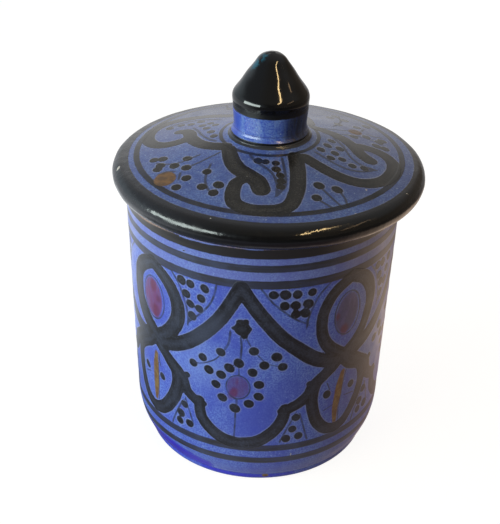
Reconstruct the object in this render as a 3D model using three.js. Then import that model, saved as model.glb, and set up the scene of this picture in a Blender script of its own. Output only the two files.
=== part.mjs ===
// A lidded herb pot: a thrown, glazed earthenware pot with an overhanging lid and a pointed knob.
// Millimetres, +Z up. The origin is on the pot's axis, on the plane that its foot stands on.

import * as THREE from 'three';

// Pot
const potHeight = 110;
const rimRadius = 50.8;
const lowerRadius = 49;
const roundingHeight = 20;
const roundingPull = 9.5;
const footRadius = 44.4;
const footHeight = 3;
const footStep = 0.5;
const footEdge = 1.2;
const rimThickness = 5.7;
const wallThickness = 5.5;
const floorThickness = 7;
const floorFillet = 10;
const lipRound = 1.6;

// Lid. Its flange hangs in the pot's mouth, and its rolled rim reaches out and down past the pot's wall.
const lidPlay = 2.1;
const contactGap = 0.3;
const lidOverhang = 6.3;
const rollRadius = 4.45;
const rollHeight = 1.9;
const flangeDepth = 8.5;
const flangeThickness = 4.5;
const flangeEdge = 1.5;
const lidThickness = 6;
const hollowFlat = 23;
const collarRadius = 17.6;
const collarHeight = 14.4;
const collarRise = 1.8;
const landRadius = 14.3;

// Knob
const knobHeight = 29.5;
const knobRadius = 13.85;
const shoulderHeight = 13.3;
const shoulderRound = 4.2;
const tipRound = 6.8;
const neckRadius = 12.9;
const beadRadius = 0.7;
const beadReach = 1.1;

// Facets
const wideFacets = 60;
const knobFacets = 40;
const curveSteps = 4;

// Sizes that follow from those above
const mouthRadius = rimRadius - rimThickness;
const innerRadius = lowerRadius - wallThickness;
const lidShift = lidPlay - contactGap;
const lidRadius = rimRadius + lidOverhang;
const dropRadius = rimRadius + lidPlay;
const flangeRadius = mouthRadius - lidPlay;
const landHeight = collarHeight + collarRise;

const quarterTurn = Math.PI / 2;

const blueGlaze = new THREE.MeshStandardMaterial({ color: 0x4d5cb4, roughness: 0.3, metalness: 0 });
const lidGlaze = new THREE.MeshStandardMaterial({ color: 0x4a56a0, roughness: 0.3, metalness: 0 });
const blackGlaze = new THREE.MeshStandardMaterial({ color: 0x0b0c10, roughness: 0.12, metalness: 0 });

// A solid of revolution about +Z. The profile is a path in radius and height, with the solid on its left.
function turned(name, profile, facets, material) {
  const geometry = new THREE.LatheGeometry(profile.getPoints(curveSteps), facets);
  geometry.rotateX(quarterTurn);
  const mesh = new THREE.Mesh(geometry, material);
  mesh.name = name;
  return mesh;
}

// The pot in one thrown piece: a turned foot, a wall that rounds up from it, a plain lip and the floor.
function potBody() {
  const profile = new THREE.Path();
  profile.moveTo(0, 0);
  profile.lineTo(footRadius - footEdge, 0);
  profile.absarc(footRadius - footEdge, footEdge, footEdge, -quarterTurn, 0);
  profile.lineTo(footRadius, footHeight);
  profile.lineTo(footRadius + footStep, footHeight);
  profile.quadraticCurveTo(lowerRadius, roundingPull, lowerRadius, roundingHeight);
  profile.lineTo(rimRadius, potHeight - lipRound);
  profile.absarc(rimRadius - lipRound, potHeight - lipRound, lipRound, 0, quarterTurn);
  profile.lineTo(mouthRadius + lipRound, potHeight);
  profile.absarc(mouthRadius + lipRound, potHeight - lipRound, lipRound, quarterTurn, 2 * quarterTurn);
  profile.lineTo(innerRadius, floorThickness + floorFillet);
  profile.absarc(innerRadius - floorFillet, floorThickness + floorFillet, floorFillet, 0, -quarterTurn, true);
  profile.lineTo(0, floorThickness);
  return turned('pot_body', profile, wideFacets, blueGlaze);
}

// The lid, measured up from the seat where it lies on the pot's lip.
function lidDisc() {
  const rollCentre = new THREE.Vector2(lidRadius - rollRadius, rollHeight);
  const collarEdge = new THREE.Vector2(collarRadius, collarHeight);

  // The dome is a cone that runs from the collar to where it touches the roll.
  const toCollar = collarEdge.clone().sub(rollCentre);
  const domeAngle = toCollar.angle() - Math.acos(rollRadius / toCollar.length());
  const domeSlope = 1 / Math.tan(domeAngle);
  const domeHeight = (radius) => collarHeight - (radius - collarRadius) * domeSlope;

  const dropAngle = -Math.acos((dropRadius - rollCentre.x) / rollRadius);
  const flangeInside = flangeRadius - flangeThickness;
  const flangeRoot = domeHeight(flangeInside) - lidThickness;
  const hollowTop = landHeight - lidThickness;
  const flangeRoundHeight = flangeEdge - flangeDepth;

  const profile = new THREE.Path();
  profile.moveTo(0, hollowTop);
  profile.quadraticCurveTo(hollowFlat, hollowTop, flangeInside, flangeRoot);
  profile.absarc(flangeInside + flangeEdge, flangeRoundHeight, flangeEdge, 2 * quarterTurn, 3 * quarterTurn);
  profile.absarc(flangeRadius - flangeEdge, flangeRoundHeight, flangeEdge, -quarterTurn, 0);
  profile.lineTo(flangeRadius, 0);
  profile.lineTo(dropRadius, 0);
  profile.absarc(rollCentre.x, rollCentre.y, rollRadius, dropAngle, domeAngle);
  profile.lineTo(collarRadius, collarHeight);
  profile.quadraticCurveTo(landRadius, domeHeight(landRadius), landRadius, landHeight);
  profile.lineTo(0, landHeight);
  return turned('lid', profile, wideFacets, lidGlaze);
}

// The knob, measured up from the land on the lid where it is luted on.
function lidKnob() {
  const shoulder = new THREE.Vector2(knobRadius - shoulderRound, shoulderHeight);
  const tip = new THREE.Vector2(0, knobHeight - tipRound);

  // The cone touches the round of the shoulder and the round of the tip.
  const toTip = tip.clone().sub(shoulder);
  const coneAngle = toTip.angle() - Math.acos((shoulderRound - tipRound) / toTip.length());

  // The neck leans out from its bead to the shoulder.
  const neckFoot = 2 * beadRadius;
  const neckAngle = -Math.atan2(knobRadius - neckRadius, shoulderHeight - neckFoot);

  const profile = new THREE.Path();
  profile.moveTo(0, 0);
  profile.lineTo(neckRadius + beadReach - beadRadius, 0);
  profile.absarc(neckRadius + beadReach - beadRadius, beadRadius, beadRadius, -quarterTurn, quarterTurn);
  profile.lineTo(neckRadius, neckFoot);
  profile.absarc(shoulder.x, shoulder.y, shoulderRound, neckAngle, coneAngle);
  profile.absarc(tip.x, tip.y, tipRound, coneAngle, quarterTurn);
  return turned('lid_knob', profile, knobFacets, blackGlaze);
}

const knob = lidKnob();
knob.position.z = landHeight;

// The lid lies off the pot's axis, as far as its play lets it slide.
const lid = new THREE.Group();
lid.add(lidDisc(), knob);
lid.position.set(lidShift, 0, potHeight);

const herbPot = new THREE.Group();
herbPot.add(potBody(), lid);

export default herbPot;
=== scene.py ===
# Looks of a lidded herb pot: thrown earthenware with a blue glaze, painted black ornament and a loose lid.
# The object's sizes are written in millimetres, and MM turns them into metres. The stage is in metres.

import math

import bpy
import numpy as np
from mathutils import Matrix, Quaternion, Vector


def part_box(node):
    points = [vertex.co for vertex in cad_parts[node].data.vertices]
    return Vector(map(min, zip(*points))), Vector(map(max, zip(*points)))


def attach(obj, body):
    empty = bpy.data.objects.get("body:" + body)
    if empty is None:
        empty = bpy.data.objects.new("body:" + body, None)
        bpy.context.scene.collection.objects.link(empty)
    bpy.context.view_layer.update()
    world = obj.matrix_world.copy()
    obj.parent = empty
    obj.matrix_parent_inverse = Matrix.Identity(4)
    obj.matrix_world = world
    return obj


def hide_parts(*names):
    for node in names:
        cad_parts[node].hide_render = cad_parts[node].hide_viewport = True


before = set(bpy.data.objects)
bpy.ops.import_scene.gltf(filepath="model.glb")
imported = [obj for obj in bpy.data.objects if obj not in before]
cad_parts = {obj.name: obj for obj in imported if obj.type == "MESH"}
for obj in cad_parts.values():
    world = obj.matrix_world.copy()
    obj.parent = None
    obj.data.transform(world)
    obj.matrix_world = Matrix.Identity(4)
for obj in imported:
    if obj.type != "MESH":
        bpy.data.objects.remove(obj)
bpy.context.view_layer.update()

MM = 0.001
QUARTER = math.pi / 2

# Sizes that the CAD parts in model.glb give
pot_low, pot_high = (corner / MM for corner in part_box("pot_body"))
lid_low, lid_high = (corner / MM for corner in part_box("lid"))
knob_low, knob_high = (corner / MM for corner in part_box("lid_knob"))

POT_HEIGHT = pot_high.z
RIM_RADIUS = pot_high.x
LID_AXIS = (lid_low.x + lid_high.x) / 2
LID_RADIUS = (lid_high.x - lid_low.x) / 2
LAND_HEIGHT = lid_high.z - POT_HEIGHT
FLANGE_DEPTH = POT_HEIGHT - lid_low.z
KNOB_FOOT = knob_low.z
KNOB_HEIGHT = knob_high.z - knob_low.z

# Pot
LOWER_RADIUS = 49.0
ROUNDING_HEIGHT = 20.0
ROUNDING_PULL = 9.5
FOOT_RADIUS = 44.4
FOOT_HEIGHT = 3.0
FOOT_STEP = 0.5
FOOT_EDGE = 1.2
STEP_ROUND = 0.3
MOUTH_RADIUS = RIM_RADIUS - 5.7
INNER_RADIUS = LOWER_RADIUS - 5.5
FLOOR_HEIGHT = 7.0
FLOOR_FILLET = 10.0
LIP_ROUND = 1.6

# Lid
LID_PLAY = 2.1
ROLL_RADIUS = 4.45
ROLL_HEIGHT = 1.9
DROP_RADIUS = RIM_RADIUS + LID_PLAY
FLANGE_RADIUS = MOUTH_RADIUS - LID_PLAY
FLANGE_INSIDE = FLANGE_RADIUS - 4.5
FLANGE_EDGE = 1.5
LID_THICKNESS = 6.0
HOLLOW_FLAT = 23.0
COLLAR_RADIUS = 17.6
COLLAR_HEIGHT = 14.4
LAND_RADIUS = 14.3

# Knob. Its neck flares a little above the bead.
KNOB_RADIUS = 13.85
SHOULDER_HEIGHT = 13.3
SHOULDER_ROUND = 4.2
TIP_ROUND = 6.8
NECK_RADIUS = 12.9
BEAD_RADIUS = 0.7
BEAD_REACH = 1.1
BEAD_END = QUARTER * 0.45
FLARE_PULL = (NECK_RADIUS + 0.1, 2.0)
FLARE_END = (NECK_RADIUS + 0.2, 4.4)

# Rows and columns of the turned meshes. The wall's rows are finest up to the top of its ornament.
POT_COLUMNS = 520
LID_COLUMNS = 560
KNOB_COLUMNS = 160
PLAIN_SHARE = 4
PAINTED_ROW = 0.66
BAND_ROW = 0.9
ROUND_ROW = 0.4
KNOB_ROW = 0.3
PLAIN_ROW = 1.6
FLAT_ROW = 4.0
PAINTED_TOP = 94.0

# Between two strips of the map, which is 1 across
STRIP_GAP = 0.01

# Painted distances are kept up to this far from a stroke
REACH = 3.0

# Where a point that takes no paint is put
FAR_OFF = 1e6

# Thin painted lines
LINE_WIDTH = 0.65


class Outline:
    """A turned outline in radius and height, drawn as rows of points, with the solid on its left."""

    def __init__(self, radius, height, columns):
        self.points = []
        self.columns = []
        self.around = columns
        self.add(radius, height)

    def add(self, radius, height):
        self.points.append((radius, height))
        self.columns.append(self.around)

    def last_row(self):
        return len(self.points) - 1

    def line(self, radius, height, step):
        start = self.points[-1]
        middle = ((start[0] + radius) / 2, (start[1] + height) / 2)
        self.curve(middle, (radius, height), step, fewest=1)

    def arc(self, radius, height, bend, first, last, step=ROUND_ROW):
        count = max(3, round(abs(last - first) * bend / step))
        for angle in np.linspace(first, last, count + 1):
            point = (radius + bend * math.cos(angle), height + bend * math.sin(angle))
            if math.dist(point, self.points[-1]) > 1e-6:
                self.add(*point)

    def curve(self, pull, end, step, fewest=3):
        start, pull, end = (np.array(point, dtype=float) for point in (self.points[-1], pull, end))
        count = max(fewest, round(math.dist(start, end) / step))
        for share in np.linspace(0, 1, count + 1)[1:]:
            point = start * (1 - share) ** 2 + pull * 2 * share * (1 - share) + end * share**2
            self.add(*point.tolist())


def strip(left, bottom, width, height, strips=1):
    """A part of the map that holds rows of a turned mesh as straight strips, one over the other."""
    tall = height / strips

    def place(along, turn, first_turn):
        number = min(int(first_turn * strips), strips - 1)
        across = turn * strips - number
        return left + across * width, bottom + tall * number + along * (tall - STRIP_GAP)

    return place


def disc(across, up, radius, inward=False):
    """A part of the map that holds rows of a turned mesh as rings about the mesh's axis."""
    def place(along, turn, first_turn):
        out = (1 - along if inward else along) * radius
        angle = 2 * math.pi * turn
        return across + out * math.sin(angle), up + out * math.cos(angle)

    return place


class Turned:
    """A turned mesh. Column 0 faces the viewer, along -Y, and the columns go round towards +X.

    Each region of its map holds the rows from the region before up to a last row.
    """

    waves = 14

    def __init__(self, outline, regions):
        self.regions = regions
        self.points = np.array(outline.points)
        radii, heights = self.points.T
        self.counts = [1 if radius < 1e-6 else columns for radius, columns in zip(radii, outline.columns)]
        self.first = [0, *np.cumsum(self.counts).tolist()]
        self.row = np.repeat(np.arange(len(radii)), self.counts)
        self.angle = 2 * math.pi * np.concatenate([np.arange(count) / count for count in self.counts])
        self.radius = radii[self.row]
        self.height = heights[self.row]
        steps = np.hypot(np.diff(radii), np.diff(heights))
        self.along = np.concatenate(([0], np.cumsum(steps)))

    def ripple(self, fewest, most, depth, seed):
        """An uneven wave over the surface, in millimetres below its highest place, as a hand leaves it."""
        draw = np.random.default_rng(seed)
        along = self.along[self.row]
        total = np.zeros(len(self.row))
        for wave in range(self.waves):
            around = draw.integers(fewest, most)
            lean = draw.uniform(-1, 1)
            start = draw.uniform(0, 2 * math.pi)
            total += np.cos(around * self.angle + lean * along + start)
        return depth * (total.max() - total) / total.std()

    def press(self, depths):
        """Moves each point inwards by its own depth in millimetres."""
        run = np.gradient(self.points, axis=0)
        run /= np.maximum(np.hypot(run[:, 0], run[:, 1]), 1e-9)[:, None]
        self.radius = self.radius - depths * run[self.row, 1]
        self.height = self.height + depths * run[self.row, 0]

    def faces(self, row):
        """The faces from a row to the next: their first turns, and their corners as rows and columns."""
        fewest, most = sorted(self.counts[row:row + 2])
        cells = fewest if fewest > 1 else most
        for cell in range(cells):
            low = self.corners(row, cells, cell)
            high = self.corners(row + 1, cells, cell)
            yield cell / cells, low + high[::-1]

    def corners(self, row, cells, cell):
        if self.counts[row] == 1:
            return [(row, 0)]
        share = self.counts[row] // cells
        return [(row, cell * share + step) for step in range(share + 1)]

    def mesh(self, name, axis, foot):
        """The mesh in metres, with its map, standing at that height on an upright axis."""
        x = axis + self.radius * np.sin(self.angle)
        y = -self.radius * np.cos(self.angle)
        points = np.column_stack((x, y, foot + self.height)) * MM
        polygons = []
        places = []
        first_row = 0
        for last_row, region in self.regions:
            start = self.along[first_row]
            length = self.along[last_row] - start
            for row in range(first_row, last_row):
                half_turn = 0.5 / max(self.counts[row:row + 2])
                for first_turn, corners in self.faces(row):
                    polygons.append([self.first[at] + column % self.counts[at] for at, column in corners])
                    for at, column in corners:
                        count = self.counts[at]
                        turn = column / count if count > 1 else first_turn + half_turn
                        places.extend(region((self.along[at] - start) / length, turn, first_turn))
            first_row = last_row
        mesh = bpy.data.meshes.new(name)
        mesh.from_pydata(points.tolist(), [], polygons)
        layer = mesh.uv_layers.new(name="OFBake")
        layer.uv.foreach_set("vector", np.array(places, dtype=np.float32))
        mesh.shade_smooth()
        return mesh


def link(name, data):
    thing = bpy.data.objects.new(name, data)
    bpy.context.scene.collection.objects.link(thing)
    return thing


def piece(name, turned, axis, foot, fields, material, node, body):
    """A turned piece that stands for a CAD node, with its painted distances as attributes."""
    mesh = turned.mesh(name, axis, foot)
    for field, values in fields.items():
        attribute = mesh.attributes.new(field, "FLOAT", "POINT")
        attribute.data.foreach_set("value", values.astype(np.float32))
    mesh.materials.append(material)
    thing = link(name, mesh)
    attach(thing, body)
    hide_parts(node)


# Outlines


def pot_outline():
    """Foot, wall and lip with fine columns, then the inside with plain ones, and the regions of the map."""
    plain = POT_COLUMNS // PLAIN_SHARE
    foot = FOOT_RADIUS - FOOT_EDGE
    lip = POT_HEIGHT - LIP_ROUND
    fillet = FLOOR_HEIGHT + FLOOR_FILLET
    slope = (RIM_RADIUS - LOWER_RADIUS) / (lip - ROUNDING_HEIGHT)
    outline = Outline(0, 0, plain)
    outline.line(foot - 2, 0, step=8)
    foot_row = outline.last_row()
    outline.around = POT_COLUMNS
    outline.line(foot, 0, step=2)
    outline.arc(foot, FOOT_EDGE, FOOT_EDGE, -QUARTER, 0)
    outline.line(FOOT_RADIUS, FOOT_HEIGHT - STEP_ROUND, BAND_ROW)
    step_end = (FOOT_RADIUS + FOOT_STEP, FOOT_HEIGHT + STEP_ROUND / 2)
    outline.curve((FOOT_RADIUS, FOOT_HEIGHT), step_end, BAND_ROW)
    outline.curve((LOWER_RADIUS, ROUNDING_PULL), (LOWER_RADIUS, ROUNDING_HEIGHT), BAND_ROW)
    outline.line(LOWER_RADIUS + slope * (PAINTED_TOP - ROUNDING_HEIGHT), PAINTED_TOP, PAINTED_ROW)
    outline.line(RIM_RADIUS, lip, BAND_ROW)
    outline.arc(RIM_RADIUS - LIP_ROUND, lip, LIP_ROUND, 0, QUARTER)
    lip_row = outline.last_row()
    outline.around = plain
    outline.line(MOUTH_RADIUS + LIP_ROUND, POT_HEIGHT, PLAIN_ROW)
    outline.arc(MOUTH_RADIUS + LIP_ROUND, lip, LIP_ROUND, QUARTER, 2 * QUARTER)
    outline.line(INNER_RADIUS, fillet, PLAIN_ROW)
    outline.arc(INNER_RADIUS - FLOOR_FILLET, fillet, FLOOR_FILLET, 0, -QUARTER, PLAIN_ROW)
    floor_row = outline.last_row()
    outline.line(0, FLOOR_HEIGHT, step=3)
    regions = [
        (foot_row, disc(0.885, 0.115, 0.11)),
        (lip_row, strip(0.005, 0.005, 0.755, 0.99, 2)),
        (floor_row, strip(0.775, 0.47, 0.22, 0.52)),
        (outline.last_row(), disc(0.885, 0.345, 0.11, True)),
    ]
    return outline, regions


def dome_angle():
    """The angle on the roll where the lid's cone leaves it."""
    across = COLLAR_RADIUS - (LID_RADIUS - ROLL_RADIUS)
    up = COLLAR_HEIGHT - ROLL_HEIGHT
    return math.atan2(up, across) - math.acos(ROLL_RADIUS / math.hypot(across, up))


def dome_height(radius):
    return COLLAR_HEIGHT - (radius - COLLAR_RADIUS) / math.tan(dome_angle())


def lid_outline():
    """The hollow, flange and seat with plain columns, then the roll, cone and collar with fine ones."""
    plain = LID_COLUMNS // PLAIN_SHARE
    hollow_top = LAND_HEIGHT - LID_THICKNESS
    flange_root = dome_height(FLANGE_INSIDE) - LID_THICKNESS
    flange_round = FLANGE_EDGE - FLANGE_DEPTH
    roll = LID_RADIUS - ROLL_RADIUS
    drop_angle = -math.acos((DROP_RADIUS - roll) / ROLL_RADIUS)
    outline = Outline(0, hollow_top, plain)
    outline.curve((HOLLOW_FLAT, hollow_top), (FLANGE_INSIDE, flange_root), PLAIN_ROW)
    outline.line(FLANGE_INSIDE, flange_round, PLAIN_ROW)
    outline.arc(FLANGE_INSIDE + FLANGE_EDGE, flange_round, FLANGE_EDGE, 2 * QUARTER, 3 * QUARTER)
    outline.line(FLANGE_RADIUS - FLANGE_EDGE, -FLANGE_DEPTH, PLAIN_ROW)
    outline.arc(FLANGE_RADIUS - FLANGE_EDGE, flange_round, FLANGE_EDGE, -QUARTER, 0)
    outline.line(FLANGE_RADIUS, 0, PLAIN_ROW)
    outline.line(DROP_RADIUS, 0, PLAIN_ROW)
    under_row = outline.last_row()
    outline.around = LID_COLUMNS
    outline.arc(roll, ROLL_HEIGHT, ROLL_RADIUS, drop_angle, dome_angle())
    outline.line(COLLAR_RADIUS, COLLAR_HEIGHT, PAINTED_ROW)
    outline.curve((LAND_RADIUS, dome_height(LAND_RADIUS)), (LAND_RADIUS, LAND_HEIGHT), ROUND_ROW)
    outline.around = plain
    outline.line(0, LAND_HEIGHT, FLAT_ROW)
    regions = [
        (under_row, disc(0.86, 0.86, 0.135)),
        (outline.last_row(), disc(0.37, 0.37, 0.365, True)),
    ]
    return outline, regions


def knob_outline():
    """The base, bead and neck, and the cone that runs from a round shoulder to a round tip."""
    bead = NECK_RADIUS + BEAD_REACH - BEAD_RADIUS
    shoulder = KNOB_RADIUS - SHOULDER_ROUND
    tip = KNOB_HEIGHT - TIP_ROUND
    rise = tip - SHOULDER_HEIGHT
    neck_angle = -math.atan2(KNOB_RADIUS - NECK_RADIUS, SHOULDER_HEIGHT - 2 * BEAD_RADIUS)
    lean = math.acos((SHOULDER_ROUND - TIP_ROUND) / math.hypot(shoulder, rise))
    cone_angle = math.atan2(rise, -shoulder) - lean
    outline = Outline(0, 0, KNOB_COLUMNS)
    outline.line(bead, 0, FLAT_ROW)
    base_row = outline.last_row()
    outline.arc(bead, BEAD_RADIUS, BEAD_RADIUS, -QUARTER, BEAD_END, step=0.2)
    outline.curve(FLARE_PULL, FLARE_END, ROUND_ROW)
    neck_end = shoulder + SHOULDER_ROUND * math.cos(neck_angle)
    outline.line(neck_end, SHOULDER_HEIGHT + SHOULDER_ROUND * math.sin(neck_angle), ROUND_ROW)
    outline.arc(shoulder, SHOULDER_HEIGHT, SHOULDER_ROUND, neck_angle, cone_angle, KNOB_ROW)
    outline.line(TIP_ROUND * math.cos(cone_angle), tip + TIP_ROUND * math.sin(cone_angle), ROUND_ROW)
    outline.arc(0, tip, TIP_ROUND, cone_angle, QUARTER, KNOB_ROW)
    regions = [
        (base_row, disc(0.87, 0.87, 0.12)),
        (outline.last_row(), disc(0.37, 0.37, 0.365, True)),
    ]
    return outline, regions


# Painting


def smooth(points, closed=False, steps=8):
    """A smooth path through given points."""
    knots = np.array(points, dtype=float)
    if closed:
        knots = np.vstack((knots[-1], knots, knots[:2]))
    else:
        knots = np.vstack((2 * knots[0] - knots[1], knots, 2 * knots[-1] - knots[-2]))
    path = []
    for a, b, c, d in zip(knots, knots[1:], knots[2:], knots[3:]):
        for share in np.arange(steps) / steps:
            bend = (2 * a - 5 * b + 4 * c - d) * share**2 + (3 * b - a - 3 * c + d) * share**3
            path.append((2 * b + (c - a) * share + bend) / 2)
    path.append(knots[-2])
    return np.array(path)


def oval(centre, wide, tall, count=14):
    """Points round an oval."""
    turns = np.linspace(0, 2 * math.pi, count, endpoint=False)
    return [(centre[0] + wide * math.sin(turn), centre[1] + tall * math.cos(turn)) for turn in turns]


def wrapped(distance, turn):
    """A distance round a full turn, brought to within half a turn of the viewer's side."""
    return (distance + turn / 2) % turn - turn / 2


class Fields(dict):
    """Painted distances by name, for each point of a surface. A new field starts out of reach."""

    def __init__(self, count):
        super().__init__()
        self.count = count

    def __missing__(self, name):
        self[name] = np.full(self.count, REACH)
        return self[name]


class Paint:
    """What is painted on a surface, as distances in millimetres that are below zero inside a stroke."""

    def __init__(self, across, up, fields):
        self.across, self.up, self.fields = across, up, fields

    def near(self, places, margin):
        """The points of the surface that lie within a margin of a box round some places."""
        low = np.min(places, axis=0) - margin
        high = np.max(places, axis=0) + margin
        inside = (self.across > low[0]) & (self.across < high[0])
        return np.flatnonzero(inside & (self.up > low[1]) & (self.up < high[1]))

    def steps(self, path, spots):
        """For each step of a path: how far along it the points lie, how far off, and to which side."""
        for start, end in zip(path, path[1:]):
            across = self.across[spots] - start[0]
            up = self.up[spots] - start[1]
            run = end - start
            share = np.clip((across * run[0] + up * run[1]) / max(run @ run, 1e-9), 0, 1)
            gap = np.hypot(across - share * run[0], up - share * run[1])
            yield share, gap, run[0] * up - run[1] * across

    def stroke(self, field, points, widths):
        """A brush stroke along a smooth path, whose width runs through the given widths."""
        path = smooth(points)
        widths = np.atleast_1d(widths)
        half = np.interp(np.linspace(0, 1, len(path)), np.linspace(0, 1, len(widths)), widths) / 2
        spots = self.near(path, REACH + half.max())
        best = self.fields[field][spots]
        for (share, gap, turn), first, last in zip(self.steps(path, spots), half, half[1:]):
            best = np.minimum(best, gap - first - (last - first) * share)
        self.fields[field][spots] = best

    def strokes(self, strokes):
        for points, widths in strokes:
            self.stroke("ink", points, widths)

    def line(self, points, width=LINE_WIDTH, closed=False):
        """A thin line. It keeps the side that a point lies on as well, to stay crisp between points."""
        path = smooth(points, closed)
        spots = self.near(path, REACH)
        best = self.fields["line"][spots]
        side = self.fields["side"][spots]
        for share, gap, turn in self.steps(path, spots):
            gap = gap * LINE_WIDTH / width
            side = np.where(gap < best, np.copysign(gap, turn), side)
            best = np.minimum(best, gap)
        self.fields["line"][spots] = best
        self.fields["side"][spots] = side

    def lines(self, lines, width):
        for points in lines:
            self.line(points, width)

    def dot(self, field, centre, radius, tall=1.0, lean=0.0):
        """A dot, so many times taller than it is wide, whose top leans to the right by some degrees."""
        spots = self.near([centre], REACH + radius * max(tall, 1))
        across = self.across[spots] - centre[0]
        up = self.up[spots] - centre[1]
        turn = math.radians(lean)
        wide = across * math.cos(turn) - up * math.sin(turn)
        high = (across * math.sin(turn) + up * math.cos(turn)) / tall
        self.fields[field][spots] = np.minimum(self.fields[field][spots], np.hypot(wide, high) - radius)

    def dots(self, centres, radius, draw):
        """Dots of about that radius, each a little different, as a loaded brush leaves them."""
        for centre in centres:
            size = radius * draw.uniform(0.86, 0.98)
            self.dot("ink", centre, size, draw.uniform(1.03, 1.2), draw.uniform(-58, -25))

    def band(self, field, low, high):
        middle = (low + high) / 2
        self.fields[field] = np.minimum(self.fields[field], np.abs(self.up - middle) - (high - low) / 2)


# The pot's ornament, in millimetres round the wall from the viewer's side, and up from the foot.
# It is set out for the front panel. The other three are a little wider and take the same strokes,
# and each may slip round the wall by a little.
WALL_SCALE = 50.0
WALL_TURN = 2 * math.pi * WALL_SCALE
FRONT_COLUMN = -43.7
FRONT_WIDTH = 76.7
OTHER_WIDTH = (WALL_TURN - FRONT_WIDTH) / 3
PANEL_SLIPS = (0, 0, 0, -5.5)

TOP_BAND = (102.0, 105.8)
BLACK_BANDS = [(96.8, 99.6), (90.2, 93.4), (17.9, 20.8), (11.5, 14.6)]
# Painted light: under the lid, the blue between the upper bands is tinted paler all round
PAINTED_LIGHT_BAND = (92, 103)
STEP_BAND = (2.9, 4.2)

# Strokes are points and widths. A medallion has two top strokes, two side lobes and two lower lobes.
TOP_WIDTHS = (5.5, 5.5, 5.7, 6.0, 5.7)
SIDE_WIDTHS = (4.4, 5.4, 5.4)
LOWER_WIDTHS = (4.4, 5.4, 5.6)
MEDALLION = [
    ([(-7, 90.2), (-9.9, 84.3), (-13.6, 77.6), (-17.4, 72.4), (-21.5, 67.9), (-26, 63.8), (-30.8, 60.5),
      (-36, 58), (-42, 57)], TOP_WIDTHS),
    ([(-7, 90.2), (-4, 85.3), (-0.2, 79.7), (3.8, 74.3), (8.2, 69.2), (13.5, 64.4), (19.8, 59.2),
      (25.5, 56.4), (32, 55.5)], TOP_WIDTHS),
    ([(-23, 36.6), (-25.2, 38), (-28.2, 40.6), (-29.6, 44.5), (-31.2, 47), (-35, 50), (-39, 53), (-43, 56)],
     SIDE_WIDTHS),
    ([(9.8, 36.8), (11.5, 37.8), (15.4, 39.8), (19, 43), (20.8, 46.5), (24, 49.4), (28, 52.6), (32, 56)],
     SIDE_WIDTHS),
    ([(-22.6, 38), (-22.6, 34), (-21.6, 30), (-18, 25.6), (-13, 22.5), (-7, 21.2)], LOWER_WIDTHS),
    ([(9.9, 38), (9.4, 34), (7.5, 29.8), (3.8, 25.6), (-0.7, 22.7), (-7, 21.2)], LOWER_WIDTHS),
]
LOBE_TIPS = [(-20.8, 37), (-27.8, 47.7), (8.3, 37), (18.9, 47.8)]

FLOWER = [
    (-6.3, 73.5, 3.0), (-6.6, 75.4, 2.0), (-5.1, 76.6, 1.1), (-7.6, 76.3, 1.0), (-9.4, 73.5, 0.8),
    (-3.8, 73.7, 0.9), (-5.6, 70.6, 1.3),
]
STEMS = [
    ([(-6.8, 69.5), (-6.5, 65.4), (-6.8, 60.5)], 0.85),
    ([(-7.4, 57), (-7.2, 53.2)], 0.5),
    ([(-8, 42), (-8.1, 39.5)], 0.9),
    ([(-8.5, 36.5), (-8.5, 33), (-8.9, 24)], 0.75),
    ([(-10.5, 71.6), (-11.1, 66.9), (-12.5, 63.8)], 0.95),
    ([(-14.3, 60.8), (-15.9, 58.8), (-18.8, 56.7), (-21.8, 55.2), (-23.6, 54.8)], 0.6),
    ([(-4.7, 69.4), (-3.5, 66.8)], 0.7),
    ([(-0.5, 62.4), (1.6, 59.9)], 0.6),
    ([(4, 58.4), (6.6, 57.7)], 0.5),
]
BERRIES = [
    (-14, 62.2), (-21, 58.1), (-24.9, 54.3), (-18.6, 53.3), (-13.9, 52.3), (-10.8, 55.9), (-7.4, 58.5),
    (-15.9, 47.5), (-13.4, 42), (-8.7, 37.9), (-2.1, 64.3), (6, 61.8), (1.7, 58.2), (8.3, 57.3),
    (-2.4, 54.9), (0, 49.5), (0, 44.1), (-3.5, 40.6),
]
HEART = (-7.6, 47.7)

CORNER_LINES = [
    [(-33.5, 90.2), (-30.4, 86.2), (-28.5, 81.9), (-27.3, 77.7), (-26.7, 73.8), (-26.9, 70.5)],
    [(-15.5, 90), (-16.5, 85.4), (-18.1, 81.5), (-20.8, 77.7), (-23.8, 74.4), (-26.8, 71.4)],
    [(0, 90), (4, 84.6), (9.4, 79.4), (13.2, 76.6), (16.6, 74.8)],
    [(24.2, 90), (20.5, 86.2), (18.2, 81.5), (16.8, 77.3), (16.3, 73.2)],
    [(-30.2, 34.5), (-32.4, 30), (-34.4, 25.5), (-35.8, 21.5)],
    [(-28.8, 36), (-27, 30.2), (-25.6, 25.2)],
    [(14.2, 35), (12.5, 31.4), (10.4, 26.8), (8.6, 22.3)],
    [(15.9, 34.2), (17.1, 30), (18.5, 24.8), (19.3, 21.8)],
]
UPPER_DOTS = [
    (-29.1, 88.1), (-25.4, 87.8), (-19.8, 87.5), (-27.2, 83.2), (-21.2, 83.1), (-25.6, 79.5), (-22.1, 78.6),
    (-25, 74.7), (4, 87.9), (8, 87.8), (12.2, 87.6), (17.5, 87.7), (8, 83.3), (11.8, 83.1), (16.3, 83.2),
    (12, 79.4), (15.4, 79.5),
]
LOWER_DOTS = [
    (-29.4, 33.1), (-31.3, 28.2), (-31.9, 24.3), (-27.3, 24.8), (14.4, 33.1), (13.2, 27.8), (10.9, 23.6),
    (15.8, 24),
]

# Broad places where a panel's glaze is deeper or lighter, or its ink is thin
SOFT_PLACES = [("deep", (-1, 33), 13), ("light", (-22, 55), 13), ("thin", (-19, 70), 11)]


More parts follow.
